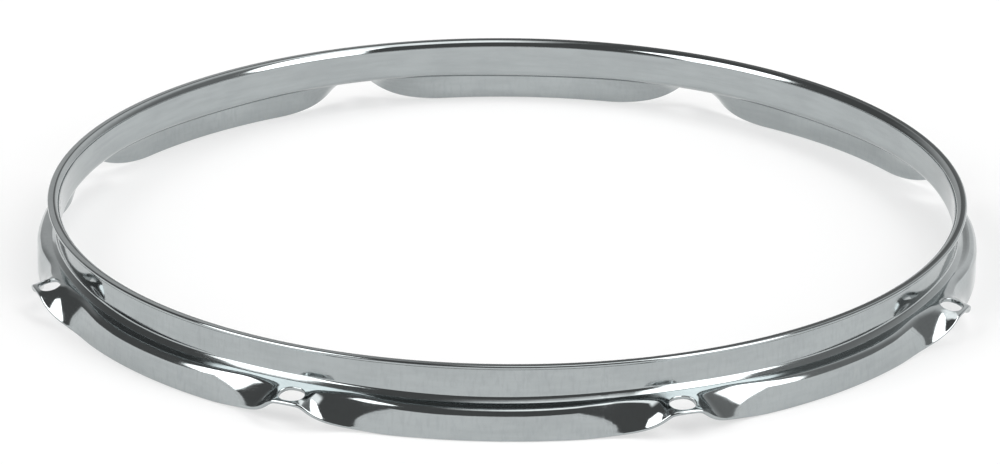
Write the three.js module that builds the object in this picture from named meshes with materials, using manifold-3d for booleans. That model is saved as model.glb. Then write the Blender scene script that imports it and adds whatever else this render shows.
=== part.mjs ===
// Triple flanged drum hoop for a 14 inch drum with eight tension rods.
//
// The real hoop is one steel strip. Its upper edge is rolled outwards into a rim, the wall below stands upright,
// and the lower part turns out into a sloping shoulder. Between the ears the shoulder is bent down into skirts, and
// at each ear it runs on nearly flat and is pierced for a tension rod. A butt weld closes the strip into a ring.
//
// Millimetres, +Z up. The origin is on the hoop's axis, level with the lower edges of the skirts.

import * as THREE from 'three';
import { mergeVertices } from 'three/addons/utils/BufferGeometryUtils.js';
import Module from 'manifold-3d';

// Sheet and wall
const sheetThickness = 1.6;
const wallInnerRadius = 180;

// Rim: its width out from the wall's inner face, and the bend under it
const rimWidth = 5;
const rimInsideBend = 0.9;

// Heights, measured down from the top of the rim
const hoopHeight = 28.6;
const wallDrop = 13.3;

// Shoulder: the bend at the wall's foot, the slope outwards, and the bend down into the skirt, whose outer face
// stands this far out from the wall's inner face
const footBend = 1.8;
const shoulderSlope = THREE.MathUtils.degToRad(9);
const shoulderBend = 3.3;
const skirtStandOut = 9.5;

// Ears: the rod holes, how far out from the wall's inner face they sit, and the metal left beyond and beside them
const earCount = 8;
const rodHoleLength = 10;
const rodHoleWidth = 8.2;
const rodStandOut = 11.4;
const earTipMargin = 1.8;
const earSideMargin = 1.1;

// On each side of an ear the flange turns down into the skirt over this length along the skirt circle
const foldLength = 32;

// Butt weld
const weldWidth = 3;
const weldAngle = THREE.MathUtils.degToRad(-76);

// Facets
const rimBendSteps = 3;
const footBendSteps = 3;
const shoulderBendSteps = 4;
const foldSteps = 9;
const skirtSteps = 2;
const foldCrowding = 1.5;
const holeSteps = 24;

// Cutting tools run past the sheet by this much
const cutOverrun = 1;

const fullTurn = 2 * Math.PI;
const rightAngle = Math.PI / 2;
const earPitch = fullTurn / earCount;
const earAngles = Array.from({ length: earCount }, (_, ear) => ear * earPitch + earPitch / 2);
const axisCount = 3;

// The circles round the hoop's axis that the wall's inner face carries
const rimOuterRadius = wallInnerRadius + rimWidth;
const skirtOuterRadius = wallInnerRadius + skirtStandOut;
const rodCircleRadius = wallInnerRadius + rodStandOut;
const earTipRadius = rodCircleRadius + rodHoleWidth / 2 + earTipMargin;
const earFlatWidth = rodHoleLength + 2 * earSideMargin;

/** How far a value has got from start to end, from 0 to 1. */
function share(value, start, end) {
  return THREE.MathUtils.clamp((value - start) / (end - start), 0, 1);
}

/** Walks along the middle of the sheet's section, and notes where it has been. */
class SheetPath {
  constructor(radius, height, heading) {
    this.position = new THREE.Vector2(radius, height);
    this.heading = heading;
    this.stops = [];
    this.mark();
  }

  /** Notes the place and the direction across the sheet, which points at the hoop's inner face. */
  mark() {
    const across = new THREE.Vector2(Math.sin(this.heading), -Math.cos(this.heading));
    this.stops.push({ middle: this.position.clone(), across });
  }

  /** Goes straight ahead. */
  straight(length) {
    this.advance(length);
    this.mark();
    return this;
  }

  /** Goes round a bend whose middle line has the given length, turning by angle in all. */
  bend(length, angle, steps) {
    const halfStep = angle / steps / 2;
    const chordShare = halfStep === 0 ? 1 : Math.sin(halfStep) / halfStep;
    for (let step = 0; step < steps; step += 1) {
      this.heading += halfStep;
      this.advance((length / steps) * chordShare);
      this.heading += halfStep;
      this.mark();
    }
    return this;
  }

  advance(distance) {
    this.position.x += distance * Math.cos(this.heading);
    this.position.y += distance * Math.sin(this.heading);
  }

  /** The closed outline of the sheet: its inner face out and its outer face back. */
  outline() {
    const face = (side) => this.stops.map(
      ({ middle, across }) => middle.clone().addScaledVector(across, (side * sheetThickness) / 2),
    );
    return [...face(1), ...face(-1).reverse()];
  }
}

// Middle line of each bend
const rimBendRadius = rimInsideBend + sheetThickness / 2;
const rimBendLength = rimBendRadius * rightAngle;
const footBendRadius = footBend + sheetThickness / 2;
const footBendAngle = rightAngle - shoulderSlope;
const footBendLength = footBendRadius * footBendAngle;
const shoulderBendRadius = shoulderBend - sheetThickness / 2;
const skirtBendAngle = rightAngle - shoulderSlope;
const shoulderBendLength = shoulderBendRadius * skirtBendAngle;

// Straight runs between the bends
const rimFlat = rimWidth - sheetThickness - rimInsideBend;
const wallRun = wallDrop - sheetThickness - rimInsideBend;
const footEndRadius = wallInnerRadius + sheetThickness / 2 + footBendRadius * (1 - Math.sin(shoulderSlope));
const shoulderEndRadius = skirtOuterRadius - sheetThickness / 2 - shoulderBendRadius * (1 - Math.sin(shoulderSlope));
const shoulderRun = (shoulderEndRadius - footEndRadius) / Math.cos(shoulderSlope);

/** The section down to the end of the shoulder's bend, which turns down by foldShare of the skirt's angle. */
function sectionToFlange(foldShare) {
  return new SheetPath(rimOuterRadius, hoopHeight - sheetThickness / 2, Math.PI)
    .straight(rimFlat)
    .bend(rimBendLength, rightAngle, rimBendSteps)
    .straight(wallRun)
    .bend(footBendLength, footBendAngle, footBendSteps)
    .straight(shoulderRun)
    .bend(shoulderBendLength, -skirtBendAngle * foldShare, shoulderBendSteps);
}

// From ear to skirt
const foldStart = earFlatWidth / 2;
const foldEnd = foldStart + foldLength;
const skirtMiddle = (earPitch / 2) * skirtOuterRadius;

// The flange below the bend reaches the ear's tip at an ear, and the foot of the hoop at a skirt
const earFlange = (earTipRadius - sectionToFlange(0).position.x) / Math.cos(shoulderSlope);
const skirtFlange = sectionToFlange(1).position.y;

/**
 * The section at a distance along the skirt circle from the middle of the nearest ear. The fold starts sharply
 * beside the ear and dies away into the skirt, while the flange grows to the skirt's depth.
 */
function sectionAt(distance) {
  const restShare = 1 - share(distance, foldStart, foldEnd);
  const foldShare = 1 - restShare * restShare * restShare;
  const growthShare = THREE.MathUtils.smoothstep(distance, foldStart, foldEnd);
  const flange = THREE.MathUtils.lerp(earFlange, skirtFlange, growthShare);
  return sectionToFlange(foldShare).straight(flange).outline();
}

/** Distances from an ear's middle where the hoop has a section, from the ear's flat to the middle of the skirt. */
function sectionDistances() {
  const shares = (steps) => Array.from({ length: steps }, (_, step) => step / steps);
  return [
    ...shares(foldSteps).map((stepShare) => foldStart + foldLength * stepShare ** foldCrowding),
    ...shares(skirtSteps).map((stepShare) => THREE.MathUtils.lerp(foldEnd, skirtMiddle, stepShare)),
    skirtMiddle,
  ];
}

/** Every angle round the hoop that has a section, to both sides of each ear. */
function sectionAngles() {
  const distances = sectionDistances();
  return earAngles.flatMap((earAngle) => [
    ...distances.map((distance) => earAngle + distance / skirtOuterRadius),
    ...distances.slice(0, -1).map((distance) => earAngle - distance / skirtOuterRadius),
  ]);
}

/** The section's outline at an angle round the hoop. */
function outlineAt(angle) {
  const fromSkirtMiddle = Math.abs(angle / earPitch - Math.round(angle / earPitch)) * earPitch;
  const fromEar = (earPitch / 2 - fromSkirtMiddle) * skirtOuterRadius;
  return sectionAt(fromEar);
}

/** A closed skin over sections at rising angles, with flat ends on the first and the last. */
function loftGeometry(angles) {
  const outlines = angles.map((angle) => outlineAt(angle));
  const count = outlines[0].length;
  const positions = outlines.flatMap((outline, index) => outline.flatMap(
    (point) => [point.x * Math.cos(angles[index]), point.x * Math.sin(angles[index]), point.y],
  ));
  const faces = [];
  for (let section = 0; section + 1 < angles.length; section += 1) {
    for (let corner = 0; corner < count; corner += 1) {
      const next = (corner + 1) % count;
      const here = section * count;
      const beyond = here + count;
      faces.push(here + corner, beyond + corner, beyond + next, here + corner, beyond + next, here + next);
    }
  }
  // The end faces are ladders between the outline's inner and outer halves
  const last = (angles.length - 1) * count;
  for (let rung = 0; rung + 1 < count / 2; rung += 1) {
    const inner = [rung, rung + 1];
    const outer = [count - 1 - rung, count - 2 - rung];
    faces.push(inner[0], inner[1], outer[1], inner[0], outer[1], outer[0]);
    faces.push(last + inner[0], last + outer[1], last + inner[1], last + inner[0], last + outer[0], last + outer[1]);
  }
  const geometry = new THREE.BufferGeometry();
  geometry.setAttribute('position', new THREE.Float32BufferAttribute(positions, axisCount));
  geometry.setIndex(faces);
  return geometry;
}

/** An upright oblong cutter for one rod hole, long along the hoop, through the ear at the given angle. */
function rodHoleCutter(angle) {
  const endRadius = rodHoleWidth / 2;
  const endCentre = (rodHoleLength - rodHoleWidth) / 2;
  const shape = new THREE.Shape();
  shape.absarc(0, endCentre, endRadius, 0, Math.PI, false);
  shape.absarc(0, -endCentre, endRadius, Math.PI, fullTurn, false);
  const depth = hoopHeight + 2 * cutOverrun;
  const cutter = new THREE.ExtrudeGeometry(shape, { depth, bevelEnabled: false, curveSegments: holeSteps / 2 });
  cutter.translate(rodCircleRadius, 0, -cutOverrun);
  cutter.rotateZ(angle);
  return cutter;
}

const wasm = await Module();
wasm.setup();

/** A three.js geometry as a solid that can be cut. */
function solidFrom(geometry) {
  const bare = new THREE.BufferGeometry();
  bare.setAttribute('position', geometry.getAttribute('position'));
  bare.setIndex(geometry.getIndex());
  const merged = mergeVertices(bare);
  return new wasm.Manifold(new wasm.Mesh({
    numProp: axisCount,
    vertProperties: new Float32Array(merged.getAttribute('position').array),
    triVerts: new Uint32Array(merged.getIndex().array),
  }));
}

/** A cut solid as a three.js geometry. */
function geometryFrom(solid) {
  const mesh = solid.getMesh();
  const geometry = new THREE.BufferGeometry();
  geometry.setAttribute('position', new THREE.Float32BufferAttribute(mesh.vertProperties, axisCount));
  geometry.setIndex([...mesh.triVerts]);
  geometry.computeVertexNormals();
  return geometry;
}

// Chrome over polished steel, and the weld bead under the same plating, a little duller
const chrome = new THREE.MeshStandardMaterial({ color: 0xb4b9ba, roughness: 0.12, metalness: 1 });
const dressedWeld = new THREE.MeshStandardMaterial({ color: 0xa4a9aa, roughness: 0.28, metalness: 1 });

/** The pressed strip, from one side of the weld round to the other. */
function makeHoopStrip() {
  const weldHalf = weldWidth / 2 / skirtOuterRadius;
  const start = weldAngle + weldHalf;
  const end = weldAngle - weldHalf + fullTurn;
  const between = sectionAngles()
    .flatMap((angle) => [angle - fullTurn, angle, angle + fullTurn])
    .filter((angle) => angle > start && angle < end)
    .sort((low, high) => low - high);
  let solid = solidFrom(loftGeometry([start, ...between, end]));
  for (const earAngle of earAngles) solid = solid.subtract(solidFrom(rodHoleCutter(earAngle)));
  const strip = new THREE.Mesh(geometryFrom(solid), chrome);
  strip.name = 'hoop_strip';
  return strip;
}

/** The slice of weld metal that fills the gap between the strip's ends, dressed flush. */
function makeButtWeld() {
  const weldHalf = weldWidth / 2 / skirtOuterRadius;
  const weld = new THREE.Mesh(loftGeometry([weldAngle - weldHalf, weldAngle + weldHalf]), dressedWeld);
  weld.name = 'butt_weld';
  return weld;
}

const drumHoop = new THREE.Group();
drumHoop.name = 'drum_hoop';
drumHoop.add(makeHoopStrip(), makeButtWeld());

export default drumHoop;
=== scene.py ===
"""The looks of a chrome plated, triple flanged drum hoop for a 14 inch drum with eight tension rods.

Every size is in metres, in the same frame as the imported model: +Z is up, and the origin is on the hoop's
axis, level with the lower edges of its skirts. The camera looks from -Y.
"""

from __future__ import annotations

import logging
import math
from dataclasses import dataclass, field
from enum import Enum
from typing import Any, Mapping, Optional, Sequence, Union

import bmesh
import bpy
from mathutils import Matrix, Vector

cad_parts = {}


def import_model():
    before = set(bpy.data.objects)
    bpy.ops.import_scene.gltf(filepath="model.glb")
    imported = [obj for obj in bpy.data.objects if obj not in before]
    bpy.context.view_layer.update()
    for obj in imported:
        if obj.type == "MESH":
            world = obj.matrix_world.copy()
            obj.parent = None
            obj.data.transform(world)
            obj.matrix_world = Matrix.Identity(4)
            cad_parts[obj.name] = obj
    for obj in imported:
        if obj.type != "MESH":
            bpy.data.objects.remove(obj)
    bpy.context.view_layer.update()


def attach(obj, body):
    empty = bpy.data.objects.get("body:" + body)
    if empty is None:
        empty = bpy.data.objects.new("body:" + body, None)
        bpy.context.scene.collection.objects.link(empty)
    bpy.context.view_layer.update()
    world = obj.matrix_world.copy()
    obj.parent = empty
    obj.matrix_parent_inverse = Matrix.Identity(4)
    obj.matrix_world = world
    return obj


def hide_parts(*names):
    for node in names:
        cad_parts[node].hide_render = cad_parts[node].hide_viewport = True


LOG = logging.getLogger("drum_hoop")

MM = 0.001
PHOTO_WIDTH = 1000
WELD_ANGLE = math.radians(-76.0)


# Node trees written as expressions


class Value:
    """A number socket that takes part in Python expressions, each of which adds a Math node."""

    def __init__(self, graph: Graph, socket: bpy.types.NodeSocket) -> None:
        """Wraps a socket.

        Args:
            graph: The node tree that the socket is in.
            socket: An output socket that carries a number.
        """
        self.graph = graph
        self.socket = socket

    def _math(self, operation: str, *operands: Number) -> Value:
        """Adds a Math node.

        Args:
            operation: The node's operation.
            *operands: What the node works on, in order.

        Returns:
            The node's result.
        """
        inputs = dict(enumerate(operands))
        node = self.graph.node("ShaderNodeMath", {"operation": operation}, inputs)
        return Value(self.graph, node.outputs[0])

    def __add__(self, other: Number) -> Value:
        """This plus the other."""
        return self._math("ADD", self, other)

    def __radd__(self, other: float) -> Value:
        """The other plus this."""
        return self._math("ADD", other, self)

    def __sub__(self, other: Number) -> Value:
        """This less the other."""
        return self._math("SUBTRACT", self, other)

    def __rsub__(self, other: float) -> Value:
        """The other less this."""
        return self._math("SUBTRACT", other, self)

    def __mul__(self, other: Number) -> Value:
        """This times the other."""
        return self._math("MULTIPLY", self, other)

    def __rmul__(self, other: float) -> Value:
        """The other times this."""
        return self._math("MULTIPLY", other, self)

    def __neg__(self) -> Value:
        """This with its sign turned."""
        return self._math("MULTIPLY", self, -1.0)

    def __abs__(self) -> Value:
        """This without its sign."""
        return self._math("ABSOLUTE", self)

    def at_least(self, other: Number) -> Value:
        """The larger of this and the other."""
        return self._math("MAXIMUM", self, other)

    def root(self) -> Value:
        """The square root of this."""
        return self._math("SQRT", self)

    def arc_sine(self) -> Value:
        """The angle whose sine this is."""
        return self._math("ARCSINE", self)

    def bearing(self, ahead: Number) -> Value:
        """The angle of a direction with this sideways part and the given part ahead."""
        return self._math("ARCTAN2", self, ahead)

    def ramp(self, start: float, end: float) -> Value:
        """A smooth step of this.

        Args:
            start: Where the step is still 0.
            end: Where the step has reached 1.

        Returns:
            The step, from 0 to 1.
        """
        inputs = {0: self, 1: start, 2: end, 3: 0.0, 4: 1.0}
        node = self.graph.node("ShaderNodeMapRange", {"interpolation_type": "SMOOTHSTEP"}, inputs)
        return Value(self.graph, node.outputs[0])


Number = Union[Value, float]
NodeInput = Union[Value, bpy.types.NodeSocket, float, Sequence[float]]
Colour = tuple[float, float, float]


class Graph:
    """A node tree that is filled by one method."""

    def __init__(self, owner: Union[bpy.types.Material, bpy.types.World]) -> None:
        """Empties the owner's node tree.

        Args:
            owner: The material or world whose nodes these are.
        """
        owner.use_nodes = True
        self.tree = owner.node_tree
        self.tree.nodes.clear()

    def node(
        self,
        kind: str,
        settings: Optional[Mapping[str, Any]] = None,
        inputs: Optional[Mapping[Union[str, int], NodeInput]] = None,
    ) -> bpy.types.Node:
        """Adds a node.

        Args:
            kind: The node's type.
            settings: The node's own settings, which are set before its sockets.
            inputs: Values or links by socket name or number.

        Returns:
            The new node.
        """
        node = self.tree.nodes.new(kind)
        for name, setting in (settings or {}).items():
            setattr(node, name, setting)
        for name, value in (inputs or {}).items():
            if isinstance(value, Value):
                self.tree.links.new(value.socket, node.inputs[name])
            elif isinstance(value, bpy.types.NodeSocket):
                self.tree.links.new(value, node.inputs[name])
            else:
                node.inputs[name].default_value = value
        return node

    def value(self, node: bpy.types.Node, output: Union[str, int] = 0) -> Value:
        """One of a node's outputs as a number to work with."""
        return Value(self, node.outputs[output])

    def parts(self, vector: bpy.types.NodeSocket) -> tuple[Value, Value, Value]:
        """The three parts of a vector."""
        node = self.node("ShaderNodeSeparateXYZ", None, {0: vector})
        return self.value(node, 0), self.value(node, 1), self.value(node, 2)

    def vector(self, *parts: Number) -> bpy.types.NodeSocket:
        """The vector with these three parts."""
        return self.node("ShaderNodeCombineXYZ", None, dict(enumerate(parts))).outputs[0]

    def mix(
        self,
        share: Value,
        under: Union[bpy.types.NodeSocket, Colour],
        over: Colour,
    ) -> bpy.types.NodeSocket:
        """Lays a colour over another one.

        Args:
            share: How far the colour on top covers the other, from 0 to 1.
            under: The colour underneath, or the socket that carries it.
            over: The colour on top.

        Returns:
            The socket of the mixed colour.
        """
        if isinstance(under, tuple):
            under = (*under, 1.0)
        inputs = {0: share, 6: under, 7: (*over, 1.0)}
        return self.node("ShaderNodeMix", {"data_type": "RGBA"}, inputs).outputs[2]


# Finishes


@dataclass(frozen=True)
class Marks:
    """Fractal noise, with how many features it has to a metre and how many finer layers.

    A pace below 1 draws the marks out, in the flat or upwards, and one above 1 shortens them.
    """

    scale: float
    detail: float
    flat_pace: float = 1.0
    upward_pace: float = 1.0
    roughness: float = 0.5

    def read(self, graph: Graph, place: bpy.types.NodeSocket) -> Value:
        """Reads the noise.

        Args:
            graph: The material's nodes.
            place: The place at which the noise is read.

        Returns:
            The noise, which lies about one half.
        """
        pace = (self.flat_pace, self.flat_pace, self.upward_pace)
        point = graph.node("ShaderNodeVectorMath", {"operation": "MULTIPLY"}, {0: place, 1: pace}).outputs[0]
        inputs = {"Vector": point, "Scale": self.scale, "Detail": self.detail, "Roughness": self.roughness}
        return graph.value(graph.node("ShaderNodeTexNoise", {"noise_dimensions": "3D"}, inputs))


@dataclass(frozen=True)
class Surface:
    """What changes over a metal surface: its colour, its roughness, and its height in millimetres."""

    colour: bpy.types.NodeSocket
    roughness: Value
    height: Value


@dataclass(frozen=True)
class PolishedMetal:
    """A polished metal finish, whose worn places are duller and hazier than the rest."""

    name: str
    bright: Colour
    dull: Colour
    roughness: float
    haze: float

    def surface(self, graph: Graph, place: bpy.types.NodeSocket) -> Surface:
        """Works out how the surface changes from place to place.

        Args:
            graph: The material's nodes.
            place: The place on the piece, in Object coordinates.

        Returns:
            The surface there.
        """
        raise NotImplementedError

    def material(self) -> bpy.types.Material:
        """Makes the material.

        Returns:
            The material, which reads Object coordinates only.
        """
        material = bpy.data.materials.new(self.name)
        graph = Graph(material)
        surface = self.surface(graph, graph.node("ShaderNodeTexCoord").outputs["Object"])
        bump_inputs = {"Strength": 1.0, "Distance": MM, "Height": surface.height}
        inputs = {
            "Base Color": surface.colour,
            "Metallic": 1.0,
            "Roughness": surface.roughness,
            "Normal": graph.node("ShaderNodeBump", None, bump_inputs).outputs[0],
        }
        shader = graph.node("ShaderNodeBsdfPrincipled", None, inputs)
        graph.node("ShaderNodeOutputMaterial", None, {0: shader.outputs[0]})
        return material


@dataclass(frozen=True)
class Plating(PolishedMetal):
    """Bright chrome plate over polished steel, with the unevenness that polishing and plating leave.

    The polishing lines and streaks run round the hoop. They are read along the sheet's section, as height
    less radius, so that they run on over the wall, the shoulder and the skirts.
    """

    name: str = "chrome_plate"
    bright: Colour = (0.418, 0.448, 0.453)
    dull: Colour = (0.385, 0.413, 0.418)
    roughness: float = 0.05
    haze: float = 0.07

    # The surface's unevenness, with depths in millimetres
    swell: Marks = Marks(48.0, 1.0, upward_pace=0.8)
    swell_depth: float = 0.03
    ripples: Marks = Marks(520.0, 1.0, upward_pace=0.12)
    ripple_depth: float = 0.0035
    lines: Marks = Marks(2600.0, 3.0, flat_pace=0.05)
    line_depth: float = 0.004

    # Worn places, which are part clouds and part streaks
    clouds: Marks = Marks(60.0, 3.0, upward_pace=1.6)
    cloud_share: float = 0.55
    streaks: Marks = Marks(420.0, 3.0, flat_pace=0.16)
    wear_range: tuple[float, float] = (0.36, 0.66)

    # Faint stains: upright marks outside, and marks along the hoop inside the wall, both stronger in patches
    stain: Colour = (0.34, 0.362, 0.37)
    stain_share: float = 0.42
    upright_stains: Marks = Marks(700.0, 3.0, upward_pace=0.3)
    upright_range: tuple[float, float] = (0.44, 0.72)
    long_stains: Marks = Marks(330.0, 3.0, flat_pace=0.12, upward_pace=1.6)
    long_range: tuple[float, float] = (0.4, 0.75)
    inside_range: tuple[float, float] = (180.3 * MM, 180.7 * MM)
    patches: Marks = Marks(22.0, 1.0)
    patch_range: tuple[float, float] = (0.3, 0.7)
    least_patch: float = 0.35

    # The sheet beside the weld, ground when the weld was dressed, which fades with the distance from it
    dressed_haze: float = 0.02
    dressed_range: tuple[float, float] = (4.4 * MM, 11 * MM)
    hoop_radius: float = 181 * MM

    def surface(self, graph: Graph, place: bpy.types.NodeSocket) -> Surface:
        """Works out how the surface changes from place to place.

        Args:
            graph: The material's nodes.
            place: The place on the piece, in Object coordinates.

        Returns:
            The surface there.
        """
        x, y, z = graph.parts(place)
        radius = (x * x + y * y).root()
        along_section = graph.vector(x, y, z - radius)
        clouds, streaks = self.clouds.read(graph, place), self.streaks.read(graph, along_section)
        wear = (clouds * self.cloud_share + streaks * (1.0 - self.cloud_share)).ramp(*self.wear_range)
        height = self.swell.read(graph, place) * self.swell_depth
        height += self.ripples.read(graph, place) * self.ripple_depth
        height += self.lines.read(graph, along_section) * self.line_depth
        stained = self.stained_share(graph, place, radius) * self.stain_share
        colour = graph.mix(stained, graph.mix(wear, self.bright, self.dull), self.stain)
        polish = self.roughness + wear * self.haze + self.dressed_share(x, y) * self.dressed_haze
        return Surface(colour, polish, height)

    def stained_share(self, graph: Graph, place: bpy.types.NodeSocket, radius: Value) -> Value:
        """Where the plate is faintly stained.

        Args:
            graph: The material's nodes.
            place: The place on the piece.
            radius: The place's distance from the hoop's axis.

        Returns:
            How strong the stain is, from 0 to 1.
        """
        inside = 1.0 - radius.ramp(*self.inside_range)
        upright = self.upright_stains.read(graph, place).ramp(*self.upright_range)
        along = self.long_stains.read(graph, place).ramp(*self.long_range)
        patches = self.patches.read(graph, place).ramp(*self.patch_range)
        patchiness = self.least_patch + patches * (1.0 - self.least_patch)
        return (upright + inside * (along - upright)) * patchiness

    def dressed_share(self, x: Value, y: Value) -> Value:
        """How much the sheet was ground when the weld was dressed.

        Args:
            x: Place along X.
            y: Place along Y.

        Returns:
            1 at the weld, fading to 0 outside the dressed width.
        """
        towards_x, towards_y = math.cos(WELD_ANGLE), math.sin(WELD_ANGLE)
        from_weld = abs(x * -towards_y + y * towards_x)
        same_side = (x * towards_x + y * towards_y).ramp(0.0, self.hoop_radius)
        return (1.0 - from_weld.ramp(*self.dressed_range)) * same_side


@dataclass(frozen=True)
class DressedWeld(PolishedMetal):
    """The weld's metal under the same plating, ground across the strip and a little duller."""

    name: str = "plated_weld"
    bright: Colour = (0.412, 0.442, 0.447)
    dull: Colour = (0.378, 0.406, 0.411)
    roughness: float = 0.06
    haze: float = 0.07
    grinding: Marks = Marks(2400.0, 2.0, upward_pace=0.08)
    pits: Marks = Marks(700.0, 2.0)
    mark_depth: float = 0.003
    wear_range: tuple[float, float] = (0.35, 0.65)

    def surface(self, graph: Graph, place: bpy.types.NodeSocket) -> Surface:
        """Works out how the surface changes from place to place.

        Args:
            graph: The material's nodes.
            place: The place on the piece, in Object coordinates.

        Returns:
            The surface there.
        """
        both = self.grinding.read(graph, place) + self.pits.read(graph, place)
        wear = (both * 0.5).ramp(*self.wear_range)
        colour = graph.mix(wear, self.bright, self.dull)
        return Surface(colour, self.roughness + wear * self.haze, both * self.mark_depth)


@dataclass(frozen=True)
class StudioPaper:
    """The white paper under the hoop. Part of what the camera and the plate see of it is plain white."""

    name: str = "studio_paper"
    colour: Colour = (0.93, 0.93, 0.93)
    own_white: float = 0.55

    def material(self) -> bpy.types.Material:
        """Makes the material.

        Returns:
            The material, which keeps the shadow that falls on it.
        """
        material = bpy.data.materials.new(self.name)
        graph = Graph(material)
        sheet = graph.node("ShaderNodeBsdfDiffuse", None, {"Color": (*self.colour, 1.0)})
        path = graph.node("ShaderNodeLightPath")
        kinds = ("Is Camera Ray", "Is Glossy Ray", "Is Transmission Ray")
        camera, glossy, through = (graph.value(path, kind) for kind in kinds)
        share = camera.at_least(glossy).at_least(through) * self.own_white
        glow = graph.node("ShaderNodeEmission", None, {"Strength": 1.0})
        both = graph.node("ShaderNodeMixShader", None, {0: share, 1: sheet.outputs[0], 2: glow.outputs[0]})
        graph.node("ShaderNodeOutputMaterial", None, {0: both.outputs[0]})
        return material


# The sheet's section


class Stretch(Enum):
    """The stretches of the section, from the rim's edge to the skirt's foot or the ear's tip."""

    RIM = "rim"
    RIM_BEND = "rim bend"
    WALL = "wall"
    FOOT_BEND = "foot bend"
    FOOT_SLANT = "foot slant"
    FOOT_EASE = "foot ease"
    SHOULDER = "shoulder"
    SHOULDER_BEND = "shoulder bend"
    FLANGE_EASE = "flange ease"
    FLANGE = "flange"


@dataclass(frozen=True)
class Stop:
    """A place on the middle line of the section."""

    radius: float
    height: float
    heading: float

    def ahead(self, length: float, turn: float) -> Stop:
        """Goes on along the sheet.

        Args:
            length: How far, measured along the middle line.
            turn: The angle turned through on the way, which makes the way an arc.

        Returns:
            The place that is reached.
        """
        half = turn / 2
        chord = length * (math.sin(half) / half if half else 1.0)
        direction = self.heading + half
        return Stop(
            self.radius + chord * math.cos(direction),
            self.height + chord * math.sin(direction),
            self.heading + turn,
        )


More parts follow.
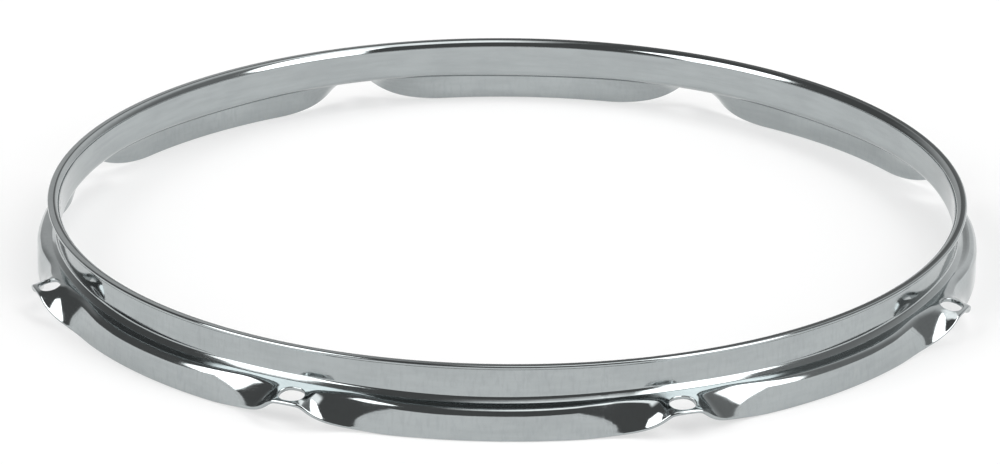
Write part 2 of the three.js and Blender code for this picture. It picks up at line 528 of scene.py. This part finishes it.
@dataclass
class HoopSection:
    """The sizes of the bent sheet, and the middle line of its section anywhere round the hoop."""

    thickness: float = 1.6 * MM
    wall_inner_radius: float = 180 * MM
    height: float = 28.6 * MM
    rim_width: float = 5 * MM
    rim_inside_bend: float = 1.3 * MM
    wall_drop: float = 13.3 * MM

    # The wall's foot: a bend, a short slant and a second bend, which all rise a little at the ears
    foot_bend: float = 1.6 * MM
    foot_turn: float = math.radians(50.0)
    foot_slant: float = 1.5 * MM
    foot_ease: float = 1.0 * MM
    foot_lift: float = 1.0 * MM

    # The shoulder and its bend, which is tucked in beside the ears up to a distance from their middles
    shoulder_slope: float = math.radians(3.0)
    shoulder_bend: float = 3.3 * MM
    tuck: float = 2.05 * MM
    tuck_start: float = 19.3 * MM
    tuck_end: float = 43.5 * MM

    # The top of the flange, which is bowed between two distances from the middle of an ear
    ease_length: float = 6.6 * MM
    ease_bow: float = math.radians(14.7)
    ease_start: float = 7.4 * MM
    ease_full: float = 26 * MM
    ease_fade: float = 34 * MM
    ease_end: float = 60 * MM

    # The skirts, whose edges stay just clear of the model's lowest plane
    skirt_stand_out: float = 9.5 * MM
    clearance: float = 0.006 * MM

    # The ears, their rod holes, and the folds between an ear and its skirts
    ears: int = 8
    hole_length: float = 10 * MM
    hole_width: float = 8.2 * MM
    rod_stand_out: float = 11.4 * MM
    ear_slope: float = math.radians(9.0)
    ear_corner_height: float = 12.16 * MM
    ear_tip_margin: float = 1.8 * MM
    ear_side_margin: float = 1.1 * MM
    fold_length: float = 32 * MM
    fold_softness: float = 1.4 * MM

    # How the turn of the shoulder's bend is found: by halving what is left between two angles
    least_turn: float = math.radians(0.01)
    most_turn: float = math.radians(110.0)
    halvings: int = 40

    rows: dict[Stretch, int] = field(
        default_factory=lambda: {
            Stretch.RIM: 1,
            Stretch.RIM_BEND: 7,
            Stretch.WALL: 2,
            Stretch.FOOT_BEND: 5,
            Stretch.FOOT_SLANT: 2,
            Stretch.FOOT_EASE: 3,
            Stretch.SHOULDER: 2,
            Stretch.SHOULDER_BEND: 8,
            Stretch.FLANGE_EASE: 5,
            Stretch.FLANGE: 3,
        }
    )

    @property
    def half(self) -> float:
        """Half the sheet's thickness, from its middle to a face."""
        return self.thickness / 2

    @property
    def skirt_radius(self) -> float:
        """Radius of the skirts' outer face."""
        return self.wall_inner_radius + self.skirt_stand_out

    @property
    def rod_radius(self) -> float:
        """Radius of the circle on which the rod holes sit."""
        return self.wall_inner_radius + self.rod_stand_out

    @property
    def tip_radius(self) -> float:
        """Radius of the ears' tips."""
        return self.rod_radius + self.hole_width / 2 + self.ear_tip_margin

    @property
    def bend_radius(self) -> float:
        """Radius of the shoulder's bend on the sheet's middle."""
        return self.shoulder_bend - self.half

    @property
    def pitch(self) -> float:
        """Angle from one ear to the next."""
        return math.tau / self.ears

    @property
    def row_count(self) -> int:
        """How many stops a section has."""
        return sum(self.rows.values()) + 1

    def ear_angles(self) -> list[float]:
        """The angles round the hoop of the middles of the ears."""
        return [(ear + 0.5) * self.pitch for ear in range(self.ears)]

    def from_ear(self, angle: float) -> float:
        """How far an angle round the hoop is from the nearest ear.

        Args:
            angle: The angle round the hoop.

        Returns:
            The distance along the skirt circle from the middle of that ear.
        """
        pitches = angle / self.pitch
        from_skirt_middle = abs(pitches - round(pitches)) * self.pitch
        return (self.pitch / 2 - from_skirt_middle) * self.skirt_radius

    def fold_shares(self, distance: float) -> tuple[float, float]:
        """How far the flange is folded and grown at a distance from the middle of an ear.

        Args:
            distance: Distance along the skirt circle.

        Returns:
            The share of the skirt's bend, and the share of the way from the ear's flange to the skirt's.
        """
        start = self.hole_length / 2 + self.ear_side_margin
        beyond = distance - start
        softened = (beyond + math.hypot(beyond, self.fold_softness)) / 2
        rest = 1 - min(softened / self.fold_length, 1.0)
        return 1 - rest**3, self.rise(distance, start, start + self.fold_length)

    def near_ear(self, distance: float) -> float:
        """A share that falls smoothly from 1 at the middle of an ear to 0 at the middle of a skirt."""
        return (1 + math.cos(math.tau * distance / (self.pitch * self.skirt_radius))) / 2

    @staticmethod
    def rise(distance: float, start: float, end: float) -> float:
        """A smooth step from 0 at one distance to 1 at another."""
        share = min(max((distance - start) / (end - start), 0.0), 1.0)
        return share * share * (3 - 2 * share)

    def bow(self, distance: float) -> float:
        """The angle through which the top of the flange is still bowed, which is largest beside the ears."""
        grown = self.rise(distance, self.ease_start, self.ease_full)
        return self.ease_bow * grown * (1 - self.rise(distance, self.ease_fade, self.ease_end))

    def slope(self, distance: float) -> float:
        """How steeply the shoulder falls outwards at a distance from the middle of an ear."""
        return self.shoulder_slope + (self.ear_slope - self.shoulder_slope) * self.near_ear(distance)

    def bend_start(self, distance: float) -> float:
        """Where the shoulder's bend starts.

        Args:
            distance: Distance along the skirt circle from the middle of an ear.

        Returns:
            The radius of the sheet's middle there.
        """
        bow = self.bow(distance)
        bend_width = self.bend_radius * (math.cos(bow) - math.sin(self.slope(distance)))
        ease_width = self.ease_length * math.tan(bow / 2)
        tuck = self.tuck * (1 - self.rise(distance, self.tuck_start, self.tuck_end))
        return self.skirt_radius - self.half - bend_width - ease_width - tuck

    def to_bend(self, distance: float) -> list[Stop]:
        """The stops down to the start of the shoulder's bend.

        Args:
            distance: Distance along the skirt circle from the middle of an ear.

        Returns:
            The stops, from the rim's edge on.
        """
        foot_radius, ease_radius = self.foot_bend + self.half, self.foot_ease + self.half
        slope = self.slope(distance)
        full_bend = math.pi / 2 - slope
        ease_turn = full_bend - self.foot_turn
        foot_width = foot_radius * (1 - math.cos(self.foot_turn))
        slant_width = self.foot_slant * math.sin(self.foot_turn)
        ease_width = ease_radius * (math.cos(self.foot_turn) - math.cos(full_bend))
        foot_end = self.wall_inner_radius + self.half + foot_width + slant_width + ease_width
        shoulder = (self.bend_start(distance) - foot_end) / math.cos(slope)
        drop = self.wall_drop - self.foot_lift * self.near_ear(distance)
        stretches = {
            Stretch.RIM: (self.rim_width - self.thickness - self.rim_inside_bend, 0.0),
            Stretch.RIM_BEND: ((self.rim_inside_bend + self.half) * math.pi / 2, math.pi / 2),
            Stretch.WALL: (drop - self.thickness - self.rim_inside_bend, 0.0),
            Stretch.FOOT_BEND: (foot_radius * self.foot_turn, self.foot_turn),
            Stretch.FOOT_SLANT: (self.foot_slant, 0.0),
            Stretch.FOOT_EASE: (ease_radius * ease_turn, ease_turn),
            Stretch.SHOULDER: (shoulder, 0.0),
        }
        stops = [Stop(self.wall_inner_radius + self.rim_width, self.height - self.half, math.pi)]
        for stretch, (length, turn) in stretches.items():
            stops += self.along(stops[-1], length, turn, self.rows[stretch])
        return stops

    def free_edge(self, distance: float) -> Stop:
        """Where the press leaves the sheet's free edge.

        Args:
            distance: Distance along the skirt circle from the middle of an ear.

        Returns:
            The middle of the lower edge of a skirt, of a fold or of an ear's tip.
        """
        fold, growth = self.fold_shares(distance)
        full_bend = math.pi / 2 - self.ear_slope
        bend = self.bend_radius * full_bend
        inner = self.skirt_radius - self.half - self.bend_radius * (1 - math.sin(self.ear_slope))
        corner = Stop(inner, self.ear_corner_height, math.tau - self.ear_slope)
        ear_flange = (self.tip_radius - corner.ahead(bend, 0.0).radius) / math.cos(self.ear_slope)
        skirt_flange = corner.ahead(bend, -full_bend).height - self.clearance
        flange = ear_flange + (skirt_flange - ear_flange) * growth
        return corner.ahead(bend, -full_bend * fold).ahead(flange, 0.0)

    def turn_towards(self, start: Stop, goal: Stop, length: float, bow: float) -> float:
        """How far the shoulder's bend turns down so that the flange runs straight to its free edge.

        Args:
            start: Where the bend starts.
            goal: The free edge.
            length: The length of the bend.
            bow: The angle through which the top of the flange is bowed.

        Returns:
            The angle that the bend turns through.
        """
        least, most = self.least_turn, self.most_turn
        for _ in range(self.halvings):
            turn = (least + most) / 2
            eased = start.ahead(length, -turn).ahead(self.ease_length, -bow)
            out, up = goal.radius - eased.radius, goal.height - eased.height
            miss = up * math.cos(eased.heading) - out * math.sin(eased.heading)
            least, most = (least, turn) if miss > 0 else (turn, most)
        return (least + most) / 2

    @staticmethod
    def along(start: Stop, length: float, turn: float, steps: int) -> list[Stop]:
        """Evenly spaced stops along one stretch."""
        return [start.ahead(length * step / steps, turn * step / steps) for step in range(1, steps + 1)]

    def stops(self, distance: float) -> list[Stop]:
        """The middle line of the section at a distance from the middle of an ear.

        Args:
            distance: Distance along the skirt circle.

        Returns:
            The stops, from the rim's edge to the lower edge or the ear's tip.
        """
        stops = self.to_bend(distance)
        start, edge = stops[-1], self.free_edge(distance)
        bow = self.bow(distance)
        length = self.bend_radius * (math.pi / 2 - self.slope(distance) - bow)
        turn = self.turn_towards(start, edge, length, bow)
        stops += self.along(start, length, -turn, self.rows[Stretch.SHOULDER_BEND])
        stops += self.along(stops[-1], self.ease_length, -bow, self.rows[Stretch.FLANGE_EASE])
        flange = math.hypot(edge.radius - stops[-1].radius, edge.height - stops[-1].height)
        return stops + self.along(stops[-1], flange, 0.0, self.rows[Stretch.FLANGE])

    def ear_height(self, radius: float) -> float:
        """Height of the sheet's middle on an ear.

        Args:
            radius: How far from the hoop's axis.

        Returns:
            The height there.

        Raises:
            ValueError: If the ear doesn't reach that radius.
        """
        stops = self.stops(0.0)
        for inner, outer in zip(stops, stops[1:]):
            if inner.radius <= radius <= outer.radius and inner.height > outer.height:
                share = (radius - inner.radius) / (outer.radius - inner.radius)
                return inner.height + (outer.height - inner.height) * share
        raise ValueError(f"an ear has no sheet at radius {radius}")


# Pieces


@dataclass
class RolledSheet:
    """A length of the hoop's sheet: a band rolled round the axis, then pressed to the section."""

    section: HoopSection
    start: float
    end: float
    steps: int
    edge_rounding: float = 0.7 * MM
    hole_rounding: float = 0.35 * MM
    edge_segments: int = 4
    sharp_from: float = math.radians(55.0)

    # An edge is at a hole where it lies within this share of the hole's length and width from its middle
    hole_reach: float = 0.6

    # How strongly even steps crowd together at the ears, and in how many rounds that is undone
    crowding: float = 0.5
    undoing_rounds: int = 30

    # Sections are worked out once for each distance from an ear, to this many digits of a metre
    distance_digits: int = 7

    # How near to the plane of an end a point lies on it
    seam_nearness: float = 0.01 * MM

    def crowded(self, angle: float) -> float:
        """Moves an angle round the hoop, so that even steps crowd together at the ears."""
        ears = self.section.ears
        return angle + self.crowding / ears * math.sin(ears * angle)

    def uncrowded(self, angle: float) -> float:
        """The angle that crowding moves to the given one.

        Args:
            angle: The angle after crowding.

        Returns:
            The angle before it.
        """
        ears = self.section.ears
        guess = angle
        for _ in range(self.undoing_rounds):
            slope = 1 + self.crowding * math.cos(ears * guess)
            guess -= (self.crowded(guess) - angle) / slope
        return guess

    def roll_band(self) -> bmesh.types.BMesh:
        """Spins an upright line of points into a band, with a point for every stop of the section.

        Returns:
            The band, in which a point's height counts its stop in millimetres.
        """
        band = bmesh.new()
        first, last = self.uncrowded(self.start), self.uncrowded(self.end)
        x, y = math.cos(first), math.sin(first)
        points = [band.verts.new((x, y, row * MM)) for row in range(self.section.row_count)]
        line = [band.edges.new(pair) for pair in zip(points, points[1:])]
        bmesh.ops.spin(
            band,
            geom=points + line,
            cent=(0.0, 0.0, 0.0),
            axis=(0.0, 0.0, 1.0),
            angle=last - first,
            steps=self.steps,
            use_merge=False,
            use_duplicate=False,
        )
        return band

    def press(self, band: bmesh.types.BMesh) -> None:
        """Moves every point of the band to its stop on the section at its own angle.

        Args:
            band: The band, which becomes the middle of the bent sheet.
        """
        sections: dict[float, list[Stop]] = {}
        for point in band.verts:
            angle = self.crowded(math.atan2(point.co.y, point.co.x))
            distance = round(self.section.from_ear(angle), self.distance_digits)
            if distance not in sections:
                sections[distance] = self.section.stops(distance)
            stop = sections[distance][round(point.co.z / MM)]
            point.co = (stop.radius * math.cos(angle), stop.radius * math.sin(angle), stop.height)

    def pierce(self, band: bmesh.types.BMesh) -> None:
        """Makes the holes in this length of sheet, of which a plain length has none."""

    def thicken(self, band: bmesh.types.BMesh) -> None:
        """Gives the sheet its thickness, half to each side of its middle.

        Args:
            band: The middle of the sheet, which becomes a closed solid.
        """
        bmesh.ops.recalc_face_normals(band, faces=band.faces[:])
        band.normal_update()
        across = {point.co.copy().freeze(): self.half_across(point) for point in band.verts}
        one_face = band.verts[:]
        grown = bmesh.ops.extrude_face_region(band, geom=band.faces[:], use_keep_orig=True)["geom"]
        other_face = [item for item in grown if isinstance(item, bmesh.types.BMVert)]
        for points, side in ((one_face, -1.0), (other_face, 1.0)):
            for point in points:
                point.co += across[point.co.copy().freeze()] * side
        bmesh.ops.recalc_face_normals(band, faces=band.faces[:])
        for edge in band.edges:
            edge.smooth = not self.on_seam(edge)

    def half_across(self, point: bmesh.types.BMVert) -> Vector:
        """The way from the sheet's middle to its face, which stays in the seam's plane on a seam.

        Args:
            point: A point of the sheet's middle.

        Returns:
            The way, which is half the sheet's thickness long.
        """
        normal = point.normal.copy()
        seam = self.seam_at(point)
        if seam is not None:
            out_of_plane = Vector((-math.sin(seam), math.cos(seam), 0.0))
            normal = (normal - out_of_plane * normal.dot(out_of_plane)).normalized()
        return normal * self.section.half

    def seam_at(self, point: bmesh.types.BMVert) -> Optional[float]:
        """The end of this length on which a point lies.

        Args:
            point: A point of the sheet.

        Returns:
            The end's angle round the hoop, or None off the ends.
        """
        for angle in (self.start, self.end):
            off_plane = point.co.y * math.cos(angle) - point.co.x * math.sin(angle)
            outwards = point.co.x * math.cos(angle) + point.co.y * math.sin(angle)
            if abs(off_plane) < self.seam_nearness and outwards > 0:
                return angle
        return None

    def on_seam(self, edge: bmesh.types.BMEdge) -> bool:
        """Whether an edge lies on one of the ends of this length."""
        return all(self.seam_at(point) is not None for point in edge.verts)

    def round_edges(self, band: bmesh.types.BMesh) -> None:
        """Rounds the cut edges, but not the ends, which meet the next length.

        Args:
            band: The solid sheet.
        """
        for at_hole, rounding in ((True, self.hole_rounding), (False, self.edge_rounding)):
            closed = [edge for edge in band.edges if edge.is_manifold]
            sharp = [edge for edge in closed if edge.calc_face_angle() > self.sharp_from]
            cut = [edge for edge in sharp if self.at_hole(edge) == at_hole and not self.on_seam(edge)]
            bmesh.ops.bevel(
                band,
                geom=cut,
                offset=rounding,
                offset_type="OFFSET",
                segments=self.edge_segments,
                profile=0.5,
                affect="EDGES",
                clamp_overlap=True,
                material=-1,
            )

    def at_hole(self, edge: bmesh.types.BMEdge) -> bool:
        """Whether an edge is on the rim of a rod hole.

        Args:
            edge: An edge of the solid sheet.

        Returns:
            True at a hole, and False elsewhere.
        """
        section = self.section
        radius = max(math.hypot(point.co.x, point.co.y) for point in edge.verts)
        middle = (edge.verts[0].co + edge.verts[1].co) / 2
        distance = section.from_ear(math.atan2(middle.y, middle.x))
        inner = section.rod_radius - section.hole_width * self.hole_reach
        outer = section.tip_radius - section.ear_tip_margin / 2
        return inner < radius < outer and distance < section.hole_length * self.hole_reach

    def build(self, name: str) -> bpy.types.Object:
        """Makes the piece.

        Args:
            name: The object's name.

        Returns:
            The object, at the origin, with smooth faces.
        """
        band = self.roll_band()
        self.press(band)
        self.pierce(band)
        self.thicken(band)
        self.round_edges(band)
        mesh = bpy.data.meshes.new(name)
        band.to_mesh(mesh)
        band.free()
        mesh.shade_smooth()
        piece = bpy.data.objects.new(name, mesh)
        bpy.context.scene.collection.objects.link(piece)
        normals = piece.modifiers.new("even_shading", "WEIGHTED_NORMAL")
        normals.mode = "FACE_AREA"
        normals.keep_sharp = True
        return piece


@dataclass
class HoopStrip(RolledSheet):
    """The strip from one side of the weld round to the other, with the rod holes in its ears."""

    # The stretch of an ear that is opened and drawn in again to the hole's outline
    window_half_width: float = 5.75 * MM
    window_inner_radius: float = 186.45 * MM
    window_outer_radius: float = 196.3 * MM
    finish: Plating = field(default_factory=Plating)

    def in_window(self, place: Vector, ear_angle: float) -> bool:
        """Whether a place lies in the stretch of an ear that the hole is let into.

        Args:
            place: The place, on the sheet's middle.
            ear_angle: The angle round the hoop of the ear's middle.

        Returns:
            True in that stretch, and False elsewhere.
        """
        outwards = place.x * math.cos(ear_angle) + place.y * math.sin(ear_angle)
        sideways = place.y * math.cos(ear_angle) - place.x * math.sin(ear_angle)
        if abs(math.atan2(sideways, outwards)) * self.section.rod_radius > self.window_half_width:
            return False
        return self.window_inner_radius < math.hypot(place.x, place.y) < self.window_outer_radius

    def pierce(self, band: bmesh.types.BMesh) -> None:
        """Lets an oblong rod hole into every ear.

        Args:
            band: The middle of the pressed sheet.
        """
        for ear_angle in self.section.ear_angles():
            window = [face for face in band.faces if self.in_window(face.calc_center_median(), ear_angle)]
            around = {edge for face in window for edge in face.edges}
            frame = [edge for edge in around if any(face not in window for face in edge.link_faces)]
            bmesh.ops.delete(band, geom=window, context="FACES")
            grown = bmesh.ops.extrude_edge_only(band, edges=frame)["geom"]
            for item in grown:
                if isinstance(item, bmesh.types.BMVert):
                    item.co = self.on_hole(item.co, ear_angle)

    def on_hole(self, place: Vector, ear_angle: float) -> Vector:
        """Draws a place on an ear straight in to the outline of the rod hole.

        Args:
            place: The place, on the sheet's middle.
            ear_angle: The angle round the hoop of the ear's middle.

        Returns:
            The place on the outline, also on the sheet's middle.
        """
        section = self.section
        radius = section.hole_width / 2
        half_straight = (section.hole_length - section.hole_width) / 2
        outwards = Vector((math.cos(ear_angle), math.sin(ear_angle)))
        sideways = Vector((-math.sin(ear_angle), math.cos(ear_angle)))
        middle = outwards * section.rod_radius
        way = (place.xy - middle).normalized()
        along, across = abs(way.dot(sideways)), abs(way.dot(outwards))
        if along * radius <= half_straight * across:
            reach = radius / across
        else:
            to_end = half_straight * along
            reach = to_end + math.sqrt(to_end * to_end + radius * radius - half_straight * half_straight)
        found = middle + way * reach
        return Vector((found.x, found.y, section.ear_height(found.length)))

    def dress(self, piece: bpy.types.Object) -> None:
        """Gives the strip its chrome plate and its place in the model.

        Args:
            piece: The strip's object.
        """
        piece.data.materials.append(self.finish.material())
        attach(piece, "root")
        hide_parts("hoop_strip")


@dataclass
class ButtWeld(RolledSheet):
    """The weld that closes the strip into a ring, dressed flush with it."""

    finish: DressedWeld = field(default_factory=DressedWeld)

    def dress(self, piece: bpy.types.Object) -> None:
        """Gives the weld its duller plate and its place in the model.

        Args:
            piece: The weld's object.
        """
        piece.data.materials.append(self.finish.material())
        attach(piece, "root")
        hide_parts("butt_weld")


@dataclass
class DrumHoop:
    """The whole hoop: the strip and the weld, on one section."""

    section: HoopSection = field(default_factory=HoopSection)
    weld_width: float = 3 * MM
    strip_steps: int = 960
    weld_steps: int = 8

    def build(self) -> list[bpy.types.Object]:
        """Makes and dresses both pieces.

        Returns:
            The strip and the weld.
        """
        half = self.weld_width / 2 / self.section.skirt_radius
        after, before = WELD_ANGLE + half, WELD_ANGLE - half
        strip = HoopStrip(self.section, after, before + math.tau, self.strip_steps)
        weld = ButtWeld(self.section, before, after, self.weld_steps)
        pieces = []
        for part, name in ((strip, "chromed_strip"), (weld, "dressed_weld")):
            pieces.append(part.build(name))
            part.dress(pieces[-1])
        return pieces


# Studio and camera


@dataclass(frozen=True)
class SoftBox:
    """A large soft light, as the hoop sees it: what is on the inner side of each of its straight edges.

    An edge is given by the parts to the right, towards the camera and upwards of the direction that points
    into the light across it.
    """

    edges: tuple[tuple[float, float, float], ...]
    strength: float
    blur: float = 0.03

    def share(self, right: Value, front: Value, up: Value) -> Value:
        """Where the light is.

        Args:
            right: The part to the right of the direction that is looked in.
            front: The part towards the camera's side.
            up: The part upwards.

        Returns:
            1 inside the light and 0 outside it.
        """
        inside: Optional[Value] = None
        for across, towards, above in self.edges:
            length = math.hypot(across, towards, above)
            depth = right * (across / length) + front * (towards / length) + up * (above / length)
            side = depth.ramp(-self.blur, self.blur)
            inside = side if inside is None else inside * side
        return inside


@dataclass(frozen=True)
class Wall:
    """A pale wall of the room, which starts faintly at one bearing and has its full strength from the next.

    With a strength below 0 it is a dark doorway in the wall before it. Angles are in degrees. Bearings are
    counted from the camera's side, to the right, and to the left where they are negative.
    """

    start: float
    full: float
    top: float
    strength: float
    blur: float = 6.0

    def light(self, bearing: Value, height: Value) -> Value:
        """How much light the wall sends.

        Args:
            bearing: The bearing of the direction that is looked in.
            height: That direction's angle above the horizon.

        Returns:
            The strength that the wall adds there.
        """
        side = bearing if self.full > 0 else -bearing
        share = side.ramp(math.radians(abs(self.start)), math.radians(abs(self.full)))
        above = height.ramp(math.radians(self.top - self.blur), math.radians(self.top + self.blur))
        return share * (1.0 - above) * self.strength


@dataclass
class Studio:
    """White paper floor, and soft lights in a room with pale walls at the back, dark on the near side."""

    paper: StudioPaper = field(default_factory=StudioPaper)
    floor_size: float = 14.0
    floor_gap: float = 0.1 * MM
    paper_top: float = math.radians(4.0)
    paper_blur: float = math.radians(1.0)
    dark: float = 0.12
    walls: tuple[Wall, ...] = (
        Wall(58.0, 72.0, 90.0, 0.15),
        Wall(110.0, 160.0, 72.0, 0.58),
        Wall(170.0, 178.0, 72.0, -0.66),
        Wall(-118.0, -168.0, 31.0, 0.46),
        Wall(-174.5, -178.5, 31.0, -0.4),
    )

    # The light overhead, and one each to the camera's right and left
    lights: tuple[SoftBox, ...] = (
        SoftBox(((1.0, 0.0, 0.06), (-1.0, 0.0, 0.3), (0.0, -1.0, 0.22), (0.0, 1.0, 0.6)), 1.9, 0.08),
        SoftBox(((1.0, -0.74, -0.23), (1.0, -0.87, 0.0), (-0.41, 1.0, 0.37), (1.0, 0.0, -0.3)), 4.2),
        SoftBox(((-1.0, -1.03, 0.16), (0.44, 1.0, 0.51), (-1.0, 0.0, -0.53), (-0.74, 1.0, -0.46)), 4.2),
    )

    def build(self) -> bpy.types.Object:
        """Lays the floor and lights the room.

        Returns:
            The floor.
        """
        sheet = bmesh.new()
        bmesh.ops.create_grid(sheet, x_segments=1, y_segments=1, size=self.floor_size / 2)
        bmesh.ops.translate(sheet, vec=(0.0, 0.0, -self.floor_gap), verts=sheet.verts[:])
        mesh = bpy.data.meshes.new("studio_floor")
        sheet.to_mesh(mesh)
        sheet.free()
        floor = bpy.data.objects.new("studio_floor", mesh)
        bpy.context.scene.collection.objects.link(floor)
        mesh.materials.append(self.paper.material())
        self.light_room()
        return floor

    def light_room(self) -> None:
        """Makes the world: the room's lights and walls, and white where the paper runs on to the horizon."""
        world = bpy.data.worlds.new("studio")
        bpy.context.scene.world = world
        graph = Graph(world)
        x, y, z = graph.parts(graph.node("ShaderNodeTexCoord").outputs["Generated"])
        height, bearing = z.arc_sine(), x.bearing(-y)
        level: Number = self.dark
        for wall in self.walls:
            level = level + wall.light(bearing, height)
        for light in self.lights:
            level = level + light.share(x, -y, z) * (light.strength - level)
        paper = 1.0 - height.ramp(self.paper_top, self.paper_top + self.paper_blur)
        level = level + paper * (1.0 - level)
        room = graph.node("ShaderNodeBackground", None, {"Color": (1.0, 1.0, 1.0, 1.0), "Strength": level})
        graph.node("ShaderNodeOutputWorld", None, {0: room.outputs[0]})


@dataclass
class PhotoCamera:
    """The camera of the photograph, found by fitting the hoop's outline. Angles are in degrees."""

    target_height: float = 28.6 * MM
    distance: float = 2.1825
    elevation: float = 20.89
    bearing: float = 2.3
    yaw: float = -0.0796
    pitch: float = 0.4537
    roll: float = 0.368
    focal_pixels: float = 5410.0
    sensor: float = 36.0
    nearest: float = 0.05
    farthest: float = 50.0

    def build(self) -> bpy.types.Object:
        """Makes the camera and sets it as the scene's.

        Returns:
            The camera.
        """
        elevation, down = math.radians(self.elevation), math.radians(self.elevation + self.pitch)
        yaw = math.radians(self.yaw)
        place = Vector((0.0, -self.distance * math.cos(elevation), self.distance * math.sin(elevation)))
        ahead = Vector((math.sin(yaw) * math.cos(down), math.cos(yaw) * math.cos(down), -math.sin(down)))
        right = Vector((math.cos(yaw), -math.sin(yaw), 0.0))
        up = right.cross(ahead)
        facing = Matrix((right, up, -ahead)).transposed().to_4x4()
        turn = Matrix.Rotation(math.radians(self.bearing), 4, "Z")
        lift = Matrix.Translation((0.0, 0.0, self.target_height))
        roll = Matrix.Rotation(math.radians(self.roll), 4, "Z")
        data = bpy.data.cameras.new("photo_camera")
        data.sensor_fit = "HORIZONTAL"
        data.sensor_width = self.sensor
        data.lens = self.focal_pixels / PHOTO_WIDTH * self.sensor
        data.clip_start = self.nearest
        data.clip_end = self.farthest
        camera = bpy.data.objects.new("photo_camera", data)
        bpy.context.scene.collection.objects.link(camera)
        camera.matrix_world = lift @ turn @ Matrix.Translation(place) @ facing @ roll
        bpy.context.scene.camera = camera
        return camera


def main() -> None:
    """Builds the camera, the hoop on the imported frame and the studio, and notes the sizes."""
    logging.basicConfig(level=logging.INFO, format="%(name)s: %(message)s")
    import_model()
    bpy.context.scene.view_settings.view_transform = "Standard"
    camera = PhotoCamera().build()
    LOG.info("%s: placed", camera.name)
    for piece in DrumHoop().build():
        mesh = piece.data
        LOG.info("%s: %d vertices, %d faces", piece.name, len(mesh.vertices), len(mesh.polygons))
    floor = Studio().build()
    LOG.info("%s: laid, and the room lit", floor.name)


if __name__ == "__main__":
    main()
